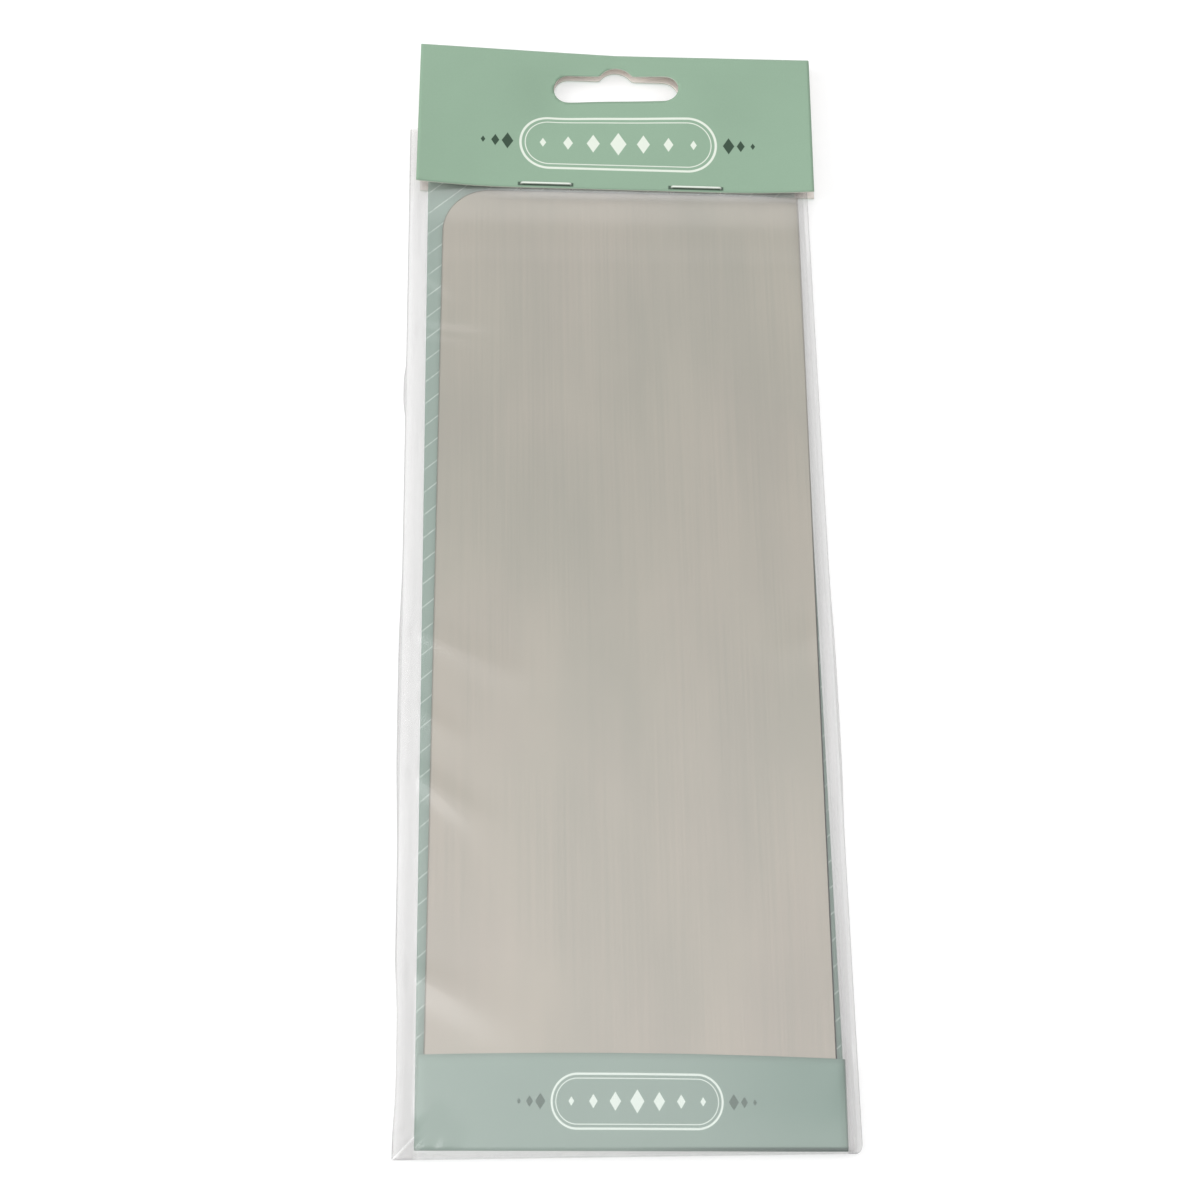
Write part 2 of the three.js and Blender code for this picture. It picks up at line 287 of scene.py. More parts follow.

# Metals, as a dark and a light tone: the blade's cool and warm patches, its cut sides, darkened as painted
# shade that gives way to one plain tone at the header end, and the staple wire
cool_steel = ((0.380, 0.367, 0.314, 1), (0.469, 0.440, 0.373, 1))
warm_steel = ((0.388, 0.362, 0.317, 1), (0.479, 0.432, 0.376, 1))
cut_steel_shade = ((0.030, 0.030, 0.027, 1), (0.08, 0.078, 0.070, 1))
unshaded_cut_steel = (0.42, 0.40, 0.35, 1)
zinc = ((0.70, 0.75, 0.69, 1), (0.82, 0.86, 0.79, 1))

# What hairlines, streaks and patches add to the blade's tone, and the tones that are darkest and lightest
hair_tone = 0.34
streak_tone = 0.14
patch_tone = 0.52
tone_range = (0.3, 0.7)

# What a slow drift and the foot end add to the blade's warmth
drift_range = (0.35, 0.65)
drift_warmth = 0.4
foot_warmth = 0.6

# Metal surfaces: roughness as a base and what the grain adds, and relief as depth and strength
steel_rough = (0.36, 0.14)
patch_rough = 0.06
steel_relief = (0.006, 0.35)
cut_rough = (0.45, 0.2)
cut_relief = (0.02, 0.5)
wire_rough = (0.3, 0.2)
wire_relief = (0.01, 0.3)
wire_metallic = 0.55

# Grain of metal and film, as waves per millimetre along each axis
hair_grain = (2.6, 0.02, 1)
streak_grain = (0.55, 0.010, 1)
patch_grain = (0.05, 0.018, 1)
drift_grain = (0.03, 0.02, 1)
shear_grain = (5, 5, 0.5)
wire_grain = (0.6, 6.0, 6.0)
film_grain = (0.35, 0.05, 1)

# Along the blade: where its tone turns warm towards the foot, and where its painted edge shade fades out
warm_end = (0.0, -110.0)
shade_fade_end = (-40.0, 45.0)

# Film: what passes through it, and its milk in the margins, beside the card on the right as painted shadow,
# along the welds and below the header as painted glare
film_tint = (0.985, 0.984, 0.983, 1)
margin_milk = (0.50, 0.487, 0.485, 1)
shadowed_milk = (0.37, 0.36, 0.358, 1)
weld_milk = (0.34, 0.34, 0.34, 1)
glare_milk = (0.74, 0.735, 0.72, 1)

# The film's surface: roughness of its gloss and of its milk, and how much it mirrors head-on and at a glance
film_gloss_rough = 0.22
film_milk_rough = 0.5
film_mirror = 0.09
film_glance = 0.9

# The margins' milkiness: everywhere, what the right side loses, and what painted shade beside the card,
# painted shadow on the right and the foot add
margin_base = 0.7
right_loss = 0.25
inner_shade_gain = 0.3
right_shadow_gain = 1.5
foot_gain = 0.4

# Streaks in the milk, and the cloudier foot
streak_strength = (0.7, 0.6)
foot_cloud = 0.55

# How strong the film's haze is in each of these places
clear_haze = 0.012
streak_haze = 0.02
margin_haze = 0.165
weld_haze = 0.12
tuck_haze = 0.08
glare_haze = 0.27

# Bands of the film from where they start to where they are full: shares of the way from the weld to the
# card's edge, and heights above the foot
weld_band = (0.09, 0.03)
inner_shade_band = (0.15, 0.6)
right_shadow_band = (0.3, 1.05)
card_edge_band = (1.05, 0.93)
over_card_band = (0.9, 1.1)
corner_band = (1.2, 1.05)
foot_line = (0.5, 0.15)
foot_band = (2.0, 0.8)
cloudy_band = (80.0, 15.0)

# The film's lower left corner fold: its crest, the tuck below it, and how it ends upwards
crest_line = (0.45, 0.1)
tuck_band = (0.1, 0.9)
crest_clear = 0.85
corner_end = 0.6

# Painted glare on the film below the header: heights from the header's lower edge where it sets in and
# where it ends, where it sets in across the bag, and its least strength and what that gains
glare_from = (-3.4, -0.6)
glare_until = (9.0, 4.0)
glare_across = (-38.0, -18.0)
glare_strength = (0.2, 0.8)

# Floor: half its side in metres, its glow, its faint clouds with their greys, and its roughness
floor_half = 3.0
floor_glow = 0.42
floor_cloud = 0.01
floor_grey = ((0.62, 0.62, 0.62, 1), (0.64, 0.64, 0.64, 1))
floor_rough = 0.9

# Studio light: how bright the room is, and each lamp's name, place and side in metres, brightness, and
# whether it shows in reflections
world_glow = 0.45
studio_lamps = [
    ("ceiling", Vector((0.0, 0.0, 2.2)), 6.0, 0.5, True),
    ("overhead", Vector((0.12, 0.0, 1.6)), 0.9, 0.55, True),
    ("softbox", Vector((-0.25, -0.13, 1.02)), 0.3, 2.0, True),
    ("left_panel", Vector((-1.2, 0.1, 0.65)), 0.7, 5.5, False),
    ("back_panel", Vector((0.1, 1.1, 0.9)), 0.7, 0.7, True),
]

# Camera: place, turn in degrees, and lens
camera_place = Vector((-32.61, -155.72, 423.36))
camera_turn = (18.872, -3.4125, -0.927)
camera_sensor = 36.0
camera_lens = 57.0


class Signal:
    """A socket of one finish's node tree. Arithmetic on signals adds Math nodes."""

    def __init__(self, finish, socket):
        self.finish = finish
        self.socket = socket

    def math(self, operation, *others):
        """A Math node on this signal and the others."""
        values = dict(enumerate((self, *others)))
        return self.finish.node("ShaderNodeMath", {"operation": operation}, values)

    def __add__(self, other):
        return self.math("ADD", other)

    def __radd__(self, other):
        return self.math("ADD", other)

    def __sub__(self, other):
        return self.math("SUBTRACT", other)

    def __rsub__(self, other):
        return self.finish.node("ShaderNodeMath", {"operation": "SUBTRACT"}, {0: other, 1: self})

    def __mul__(self, other):
        return self.math("MULTIPLY", other)

    def __rmul__(self, other):
        return self.math("MULTIPLY", other)

    def __truediv__(self, other):
        return self.math("DIVIDE", other)

    def __abs__(self):
        return self.math("ABSOLUTE")

    def ramp(self, start, end):
        """0 up to start, 1 from end on, smooth between them."""
        low, high, first, last = (start, end, 0.0, 1.0) if start < end else (end, start, 1.0, 0.0)
        sockets = {"Value": self, "From Min": low, "From Max": high, "To Min": first, "To Max": last}
        return self.finish.node("ShaderNodeMapRange", {"interpolation_type": "SMOOTHSTEP"}, sockets)

    def spread(self, base, gain):
        """A base value, and what this signal adds to it."""
        return base + gain * self


class Finish:
    """One material and its node tree."""

    def __init__(self, name):
        self.material = bpy.data.materials.new(name)
        self.material.use_nodes = True
        self.tree = self.material.node_tree
        self.tree.nodes.clear()

    def node(self, kind, settings=None, sockets=None, output=0):
        """Adds a node: its settings first, then the values or links of its sockets."""
        made = self.tree.nodes.new(kind)
        for name, value in (settings or {}).items():
            setattr(made, name, value)
        for name, value in (sockets or {}).items():
            if isinstance(value, Signal):
                self.tree.links.new(value.socket, made.inputs[name])
            else:
                made.inputs[name].default_value = value
        return Signal(self, made.outputs[output]) if made.outputs else None

    def place(self, stretch=(1, 1, 1)):
        """Object coordinates in millimetres, stretched along each axis."""
        spot = self.node("ShaderNodeTexCoord", output="Object")
        scale = tuple(share / MM for share in stretch)
        return self.node("ShaderNodeMapping", {}, {"Vector": spot, "Scale": scale})

    def axis(self, name):
        """One of the Object coordinates, in millimetres."""
        return self.node("ShaderNodeSeparateXYZ", {}, {0: self.place()}, name)

    def flat_place(self, name):
        """The two coordinates of the piece's own flat map."""
        spot = self.node("ShaderNodeUVMap", {"uv_map": name})
        return [self.node("ShaderNodeSeparateXYZ", {}, {0: spot}, axis) for axis in "XY"]

    def noise(self, spot, scale=1.0, detail=2.0, rough=0.5):
        """Cloudy values between 0 and 1."""
        sockets = {"Vector": spot, "Scale": scale, "Detail": detail, "Roughness": rough}
        return self.node("ShaderNodeTexNoise", {}, sockets)

    def blend(self, share, first, second):
        """The first colour where share is 0, the second where it is 1."""
        return self.node("ShaderNodeMix", {"data_type": "RGBA"}, {0: share, 6: first, 7: second}, 2)

    def bump(self, height, distance, strength):
        """A normal that follows a fine relief; its distance is in millimetres."""
        sockets = {"Height": height, "Distance": distance * MM, "Strength": strength}
        return self.node("ShaderNodeBump", {}, sockets)

    def principled(self, **sockets):
        """The main shader; sockets are named with underscores for spaces."""
        named = {name.replace("_", " "): value for name, value in sockets.items()}
        return self.node("ShaderNodeBsdfPrincipled", {}, named)

    def done(self, shader):
        """Ends the tree with a shader and gives the material."""
        self.node("ShaderNodeOutputMaterial", {}, {"Surface": shader})
        return self.material


def ring(u, v, middle, straight, radius, line):
    """1 on the line of a long round-ended ring drawn on a card's flat map."""
    across = (abs(u - middle[0]) - straight).math("MAXIMUM", 0.0)
    along = v - middle[1]
    distance = (across * across + along * along).math("SQRT")
    return abs(distance - radius).ramp(line / 2 + print_blur, line / 2 - print_blur)


def lozenge(u, v, middle, half_width, half_height):
    """1 inside a lozenge drawn on a card's flat map."""
    reach = abs(u - middle[0]) / half_width + abs(v - middle[1]) / half_height
    return reach.ramp(*lozenge_rim)


def ornament(u, v, middle, size):
    """A plain printed ornament: two nested rings around a row of lozenges."""
    straight = ring_straight * size
    outer = ring(u, v, middle, straight, outer_ring_radius * size, outer_ring_line * size)
    inner = ring(u, v, middle, straight, inner_ring_radius * size, inner_ring_line * size)
    mask = outer.math("MAXIMUM", inner)
    for step in range(-lozenge_steps, lozenge_steps + 1):
        grown = (1.0 - lozenge_shrink * abs(step)) * size
        spot = (middle[0] + lozenge_pitch * step * size, middle[1])
        drawn = lozenge(u, v, spot, lozenge_half_width * grown, lozenge_half_height * grown)
        mask = mask.math("MAXIMUM", drawn)
    return mask


def side_dots(u, v, middle, size):
    """Dark printed dots that shrink outwards on both sides of the ornament."""
    outward = abs(u - middle[0])
    mask = 0.0
    for step in range(dot_count):
        grown = (1.0 - dot_shrink * step) * size
        spot = ((dot_start + dot_pitch * step) * size, middle[1])
        drawn = lozenge(outward, v, spot, dot_half_width * grown, dot_half_height * grown)
        mask = drawn.math("MAXIMUM", mask)
    return mask


def printed(mark, middle, size):
    """A layer's mask: a mark drawn at a place on a card's flat map."""
    def mask(finish):
        return mark(*finish.flat_place("card_flat"), middle, size)
    return mask


def steel_finish():
    """Stainless sheet, brushed along its length."""
    finish = Finish("brushed_blade_steel")
    hair = finish.noise(finish.place(hair_grain), detail=3.0, rough=0.6)
    streak = finish.noise(finish.place(streak_grain), detail=3.0, rough=0.6)
    patch = finish.noise(finish.place(patch_grain))
    tone = (hair_tone * hair + streak_tone * streak + patch_tone * patch).ramp(*tone_range)
    cool = finish.blend(tone, *cool_steel)
    warm = finish.blend(tone, *warm_steel)
    drift = finish.noise(finish.place(drift_grain)).ramp(*drift_range)
    low_end = finish.axis("Y").ramp(*warm_end)
    shade = finish.blend(drift_warmth * drift + foot_warmth * low_end, cool, warm)
    rough = hair.spread(*steel_rough) + patch_rough * patch
    grain = finish.bump(hair + streak, *steel_relief)
    shader = finish.principled(Base_Color=shade, Metallic=1.0, Roughness=rough, Normal=grain)
    return finish.done(shader)


def shaded_cut_finish():
    """The blade's cut sides and right edge: darker, rough and marked, painted shade fading out upwards."""
    finish = Finish("blade_side_painted_shade")
    marks = finish.noise(finish.place(shear_grain), detail=3.0, rough=0.6)
    dark = finish.blend(marks, *cut_steel_shade)
    shade = finish.blend(finish.axis("Y").ramp(*shade_fade_end), dark, unshaded_cut_steel)
    rough = marks.spread(*cut_rough)
    grain = finish.bump(marks, *cut_relief)
    shader = finish.principled(Base_Color=shade, Metallic=1.0, Roughness=rough, Normal=grain)
    return finish.done(shader)


def wire_finish():
    """Bright zinc-plated staple wire with drawing marks."""
    finish = Finish("bright_staple_wire")
    marks = finish.noise(finish.place(wire_grain), detail=3.0)
    shade = finish.blend(marks, *zinc)
    rough = marks.spread(*wire_rough)
    grain = finish.bump(marks, *wire_relief)
    shader = finish.principled(Base_Color=shade, Metallic=wire_metallic, Roughness=rough, Normal=grain)
    return finish.done(shader)


def card_grain(finish):
    """Fibre mottle of card, fine and cloudy, and its bump."""
    fibre = finish.noise(finish.place(), scale=fibre_grain, detail=4.0, rough=0.65)
    cloud = finish.noise(finish.place(), scale=cloud_grain, detail=3.0)
    return fibre_share * fibre + cloud_share * cloud, finish.bump(fibre, *card_relief)


def toned(tint, share):
    """A colour made lighter or darker, kept opaque."""
    return tuple(min(1.0, value * share) for value in tint[:3]) + (1.0,)


def print_finish(name, ink, layers):
    """Printed card: an ink colour with a little mottle, and layers of marks, each a mask and a colour."""
    finish = Finish(name)
    mottle, grain = card_grain(finish)
    shade = finish.blend(mottle, toned(ink, ink_dark), toned(ink, ink_light))
    for marks, tint in layers:
        shade = finish.blend(marks(finish), shade, tint)
    shader = finish.principled(Base_Color=shade, Roughness=mottle.spread(*print_rough), Normal=grain)
    return finish.done(shader)


def bare_card_finish(name, tint):
    """Unprinted side or cut edge of card."""
    finish = Finish(name)
    mottle, grain = card_grain(finish)
    shade = finish.blend(mottle, toned(tint, bare_dark), tint)
    shader = finish.principled(Base_Color=shade, Roughness=mottle.spread(*bare_rough), Normal=grain)
    return finish.done(shader)


def film_finish(corner_reach, header_reach):
    """Clear glossy film, milky in the margins and grey along the welds, with painted shadow and painted
    glare.

    The reaches are the width of the lower left corner and the header's height above the foot.
    """
    finish = Finish("clear_bag_film")
    side, along = finish.flat_place("film_flat")
    across = finish.axis("X")
    streak = finish.noise(finish.place(film_grain), detail=3.0)
    edge = side.ramp(*weld_band).math("MAXIMUM", along.ramp(*foot_line))

    # The margins, milkier beside the card and more so on the right, as painted shadow of the contents
    right = across.ramp(-1.0, 1.0)
    drawn = right * side.ramp(*right_shadow_band)
    margin = margin_base - right_loss * right + inner_shade_gain * side.ramp(*inner_shade_band) + right_shadow_gain * drawn
    margin = side.ramp(*card_edge_band) * margin
    margin = margin.math("MAXIMUM", foot_gain * along.ramp(*foot_band))
    streaky = streak.spread(*streak_strength)
    cloudy = streaky + foot_cloud * along.ramp(*cloudy_band)

    # The folded lower left corner
    below = side * corner_reach - along
    corner = across.ramp(1.0, -1.0) * side.ramp(*corner_band)
    corner = corner * along.ramp(corner_reach + corner_end, corner_reach)
    crest = corner * abs(below).ramp(*crest_line)
    tuck = corner * below.ramp(*tuck_band)

    # Painted glare in the band just below the header, over the card only
    band = along.ramp(*(header_reach + height for height in glare_from))
    band = band * along.ramp(*(header_reach + height for height in glare_until))
    rightward = across.ramp(*glare_across)
    painted_glare = band * side.ramp(*over_card_band) * rightward.spread(*glare_strength)

    haze = clear_haze + streak_haze * streak + margin_haze * margin * cloudy
    haze = haze + weld_haze * edge + tuck_haze * tuck
    haze = haze * (1.0 - crest_clear * crest) + glare_haze * painted_glare * streaky
    milk = finish.blend(drawn, margin_milk, shadowed_milk)
    milk = finish.blend(edge, milk, weld_milk)
    milk = finish.blend(painted_glare, milk, glare_milk)
    milky = finish.principled(Base_Color=milk, Roughness=film_milk_rough)
    clear = finish.node("ShaderNodeBsdfTransparent", {}, {"Color": film_tint})
    body = finish.node("ShaderNodeMixShader", {}, {0: haze, 1: clear, 2: milky})
    gloss = finish.node("ShaderNodeBsdfGlossy", {}, {"Color": white, "Roughness": film_gloss_rough})
    facing = finish.node("ShaderNodeLayerWeight", {}, {"Blend": 0.5}, "Facing")
    mirror = film_mirror + film_glance * facing.math("POWER", 5.0)
    return finish.done(finish.node("ShaderNodeMixShader", {}, {0: mirror, 1: body, 2: gloss}))


def floor_finish():
    """Plain pale floor that glows a little, as a lit table does."""
    finish = Finish("pale_floor")
    shade = finish.blend(finish.noise(finish.place(), scale=floor_cloud), *floor_grey)
    lit = {"Emission_Color": white, "Emission_Strength": floor_glow}
    return finish.done(finish.principled(Base_Color=shade, Roughness=floor_rough, **lit))


def make_piece(bm, name, finishes, body, nodes):
    """Turns a bmesh in millimetres into a piece that rides on a body and stands for CAD nodes."""
    bmesh.ops.scale(bm, vec=(MM, MM, MM), verts=bm.verts)
    mesh = bpy.data.meshes.new(name)
    bm.to_mesh(mesh)
    bm.free()
    for finish in finishes:
        mesh.materials.append(finish)
    piece = bpy.data.objects.new(name, mesh)
    bpy.context.scene.collection.objects.link(piece)
    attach(piece, body)
    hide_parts(*nodes)
    return piece


def give_card_wall(piece):
    """Thickens a card inwards; its second finish goes on the inside and its third on the cut edges."""
    wall = piece.modifiers.new("wall", "SOLIDIFY")
    wall.thickness = card_thickness * MM
    wall.offset = -1
    wall.material_offset = 1
    wall.material_offset_rim = 2


def smoothstep(value):
    """Goes from 0 to 1 with soft ends."""
    value = min(max(value, 0.0), 1.0)
    return value * value * (3 - 2 * value)


def along_rows(share, stretches):
    """Distance at a share of all rows; each stretch of the sheet has its length and number of rows."""
    row = share * sum(rows for _, rows in stretches)
    passed = 0.0
    for length, rows in stretches[:-1]:
        if row <= rows:
            return passed + length * row / rows
        row -= rows
        passed += length
    length, rows = stretches[-1]
    return passed + length * row / rows


def flat_card(width, columns, stretches):
    """A flat card as a grid: its width along X, its stretches along Y."""
    bm = bmesh.new()
    rows = sum(rows for _, rows in stretches)
    bmesh.ops.create_grid(bm, x_segments=columns, y_segments=rows, size=0.5)
    for vert in bm.verts:
        vert.co = Vector((vert.co.x * width, along_rows(vert.co.y + 0.5, stretches), 0))
    return bm


def keep_flat_map(bm, name, flat):
    """Stores each corner's flat place as the piece's own map."""
    layer = bm.loops.layers.uv.new(name)
    for face in bm.faces:
        for loop in face.loops:
            loop[layer].uv = flat(loop.vert.co)


def shade_smooth(bm):
    """Shades every face as part of one curved sheet."""
    for face in bm.faces:
        face.smooth = True


def leg_places():
    """Middles of the staple legs that pierce the pack, in the part's frame."""
    places = []
    for node in staple_nodes:
        low, high = box_mm(node)
        middle = (low + high) / 2
        reach = (high.x - low.x) / 2 - wire_depth / 2
        for side in (-1, 1):
            drop = side * math.tan(-pack_lean) * reach
            places.append(Vector((middle.x + side * reach, middle.y - drop, 0)))
    return places


def tear_slits(bm):
    """Cuts the slit that each staple leg tears from its hole to the upper edge."""
    low_edge = wire_width / 2 + slit_half / 2
    for leg in leg_places():
        for side in (-1, 1):
            geom = bm.verts[:] + bm.edges[:] + bm.faces[:]
            plane = leg + Vector((side * slit_half, 0, 0))
            bmesh.ops.bisect_plane(bm, geom=geom, plane_co=plane, plane_no=(1, 0, 0))
        geom = bm.verts[:] + bm.edges[:] + bm.faces[:]
        plane = leg - Vector((0, low_edge, 0))
        bmesh.ops.bisect_plane(bm, geom=geom, plane_co=plane, plane_no=(0, 1, 0))
        torn = []
        for face in bm.faces:
            spot = face.calc_center_median()
            if abs(spot.x - leg.x) < slit_half and spot.y > leg.y - low_edge:
                torn.append(face)
        bmesh.ops.delete(bm, geom=torn, context="FACES")


def make_blade():
    """The steel plate: two round corners on the left, two square ones on the right."""
    low, high = box_mm("scraper_blade")
    sine, cosine = -math.sin(blade_lean), math.cos(blade_lean)
    half = blade_width / 2
    foot = Vector((high.x - half * cosine - blade_length * sine, low.y + half * sine, low.z))
    bm = bmesh.new()
    bmesh.ops.create_grid(bm, x_segments=1, y_segments=1, size=0.5)
    bmesh.ops.scale(bm, vec=(blade_width, blade_length, 1), verts=bm.verts)
    bmesh.ops.translate(bm, vec=(0, blade_length / 2, 0), verts=bm.verts)
    left = [vert for vert in bm.verts if vert.co.x < 0]
    bmesh.ops.bevel(
        bm, geom=left, offset=blade_corner, segments=corner_segments, profile=0.5,
        affect="VERTICES", material=-1,
    )
    grown = bmesh.ops.extrude_face_region(bm, geom=bm.faces[:])
    top = [part for part in grown["geom"] if isinstance(part, bmesh.types.BMVert)]
    bmesh.ops.translate(bm, vec=(0, 0, high.z - low.z), verts=top)
    bmesh.ops.recalc_face_normals(bm, faces=bm.faces)
    rims = [edge for edge in bm.edges if abs(edge.verts[0].co.z - edge.verts[1].co.z) < tolerance]
    bmesh.ops.bevel(
        bm, geom=rims, offset=blade_edge_round, segments=round_segments, profile=0.5,
        affect="EDGES", material=-1,
    )
    # Cut sides and the rounded right edge take the dark finish: darker cut steel, with painted shade for the
    # shadow line along the right edge
    for face in bm.faces:
        shaded_right_edge = face.calc_center_median().x > half - blade_edge_round
        face.smooth = abs(face.normal.z) < flat_share
        face.material_index = 1 if shaded_right_edge or abs(face.normal.z) < side_share else 0
    bmesh.ops.transform(bm, matrix=Matrix.Rotation(blade_lean, 4, "Z"), verts=bm.verts)
    bmesh.ops.translate(bm, vec=foot, verts=bm.verts)
    finishes = [steel_finish(), shaded_cut_finish()]
    make_piece(bm, "blade_plate", finishes, "blade", ["scraper_blade"])


def insert_marks(finish):
    """Thin pale slanting lines over the insert card."""
    u, v = finish.flat_place("card_flat")
    across = (v * math.cos(hatch_slant) - u * math.sin(hatch_slant)) / hatch_spacing
    distance = abs(across.math("FRACT") - 0.5) * hatch_spacing
    worn = finish.noise(finish.place(), scale=wear_grain).ramp(*wear_band)
    line = distance.ramp(hatch_line / 2 + hatch_blur, hatch_line / 2 - hatch_blur)
    return line * worn.spread(*hatch_strength)


def make_insert():
    """The insert card: a back panel, folded up at the bottom into the flap over the blade's end."""
    fold_low, fold_high = box_mm("insert_fold")
    panel_low, panel_high = box_mm("insert_back_panel")
    flap_top = box_mm("insert_flap")[1].z
    width = panel_high.x - panel_low.x
    middle = (panel_high.x + panel_low.x) / 2
    rise = (flap_top - panel_low.z) / 2
    wrap = math.pi * rise
    flap_flat = flap_height - rise
    panel_flat = panel_high.y - fold_low.y - rise

    def folded(spot):
        """Where a point of the flat card lies once it is folded round its skewed line."""
        start = fold_low.y + math.tan(fold_skew) * (fold_high.x - middle - spot.x) + rise
        upper = flap_top - flap_droop * smoothstep((abs(spot.x) - width / 2) / droop_reach + 1)
        x = middle + spot.x
        if spot.y <= flap_flat:
            share = 1 - spot.y / flap_flat
            crown = flap_crown * (1 - (2 * spot.x / width) ** 2)
            reach = (flap_flat - math.tan(flap_lean - fold_skew) * spot.x + crown) * share
            bow = flap_bow * math.sin(math.pi * share)
            x += math.sin(flap_lean) * reach
            return Vector((x, start + math.cos(flap_lean) * reach, upper + bow))
        turned = (spot.y - flap_flat) / wrap
        if turned <= 1:
            turn = math.pi * turned
            level = (upper + panel_low.z) / 2 + (upper - panel_low.z) / 2 * math.cos(turn)
            return Vector((x, start - rise * math.sin(turn), level))
        share = (spot.y - flap_flat - wrap) / panel_flat
        return Vector((x, start + (panel_high.y - start) * share, panel_low.z))

    stretches = [(flap_flat, flap_rows), (wrap, insert_fold_rows), (panel_flat, insert_panel_rows)]
    bm = flat_card(width, insert_columns, stretches)
    keep_flat_map(bm, "card_flat", lambda spot: spot.xy)
    for vert in bm.verts:
        vert.co = folded(vert.co)
    bmesh.ops.reverse_faces(bm, faces=bm.faces)
    tear_slits(bm)
    shade_smooth(bm)

    def painted_fold_shade(finish):
        """Painted shade along the fold, darker towards the right."""
        u, v = finish.flat_place("card_flat")
        line = abs(v - flap_flat - fold_shade_place * wrap).ramp(*(share * wrap for share in fold_shade_line))
        rightward = u.ramp(*(share * width for share in fold_shade_band))
        return line * rightward.spread(*fold_shade_strength)

    def painted_right_shade(finish):
        """Painted shade: the ink darkens towards the card's right side, and less so from the fold on."""
        u, v = finish.flat_place("card_flat")
        rightward = u.ramp(*(share * width for share in right_shade_band))
        from_fold = v.ramp(*(share * flap_flat for share in right_shade_fold_band))
        return right_shade_strength * rightward * (1.0 - right_shade_fold_loss * from_fold)

    ornament_middle = (flap_ornament_shift, flap_flat * flap_ornament_share)
    outer_layers = [
        (painted_right_shade, insert_shaded_ink),
        (printed(ornament, ornament_middle, flap_ornament_size), flap_pale_ink),
        (printed(side_dots, ornament_middle, flap_ornament_size), flap_dark_ink),
        (painted_fold_shade, insert_fold_shade),
    ]
    hatched_layers = [(painted_right_shade, insert_shaded_ink), (insert_marks, hatch_ink)]
    finishes = [
        print_finish("insert_outer_print", insert_ink, outer_layers),
        print_finish("insert_hatched_print", insert_ink, hatched_layers),
        bare_card_finish("insert_cut_edge", insert_cut_card),
    ]
    nodes = ["insert_back_panel", "insert_fold", "insert_flap"]
    give_card_wall(make_piece(bm, "insert_card", finishes, "insert", nodes))


def outside_slot(u, y):
    """How far a point of a header panel lies outside the hang slot; negative inside it."""
    half = slot_height / 2
    bar = math.hypot(max(abs(u) - slot_length / 2 + half, 0), y - slot_above_edge) - half
    peg = math.hypot(u, y - slot_above_edge - peg_raise) - peg_radius
    near = max(slot_fillet - abs(bar - peg), 0) / slot_fillet
    return min(bar, peg) - near * near * slot_fillet / 4


def cut_hole(bm, outside, cell):
    """Cuts a hole where outside() is negative and draws the mesh's rim onto the hole's outline."""
    step = cell / 100
    inner = {vert for vert in bm.verts if outside(vert.co) < cell / 4}
    lost = [face for face in bm.faces if all(vert in inner for vert in face.verts)]
    lost_faces = set(lost)
    rim = [vert for vert in inner if any(face not in lost_faces for face in vert.link_faces)]
    bmesh.ops.delete(bm, geom=lost, context="FACES")
    for vert in rim:
        for _ in range(outline_rounds):
            here = outside(vert.co)
            slope = Vector((
                (outside(vert.co + Vector((step, 0, 0))) - here) / step,
                (outside(vert.co + Vector((0, step, 0))) - here) / step,
                0,
            ))
            vert.co -= slope * (here / max(slope.length_squared, step))


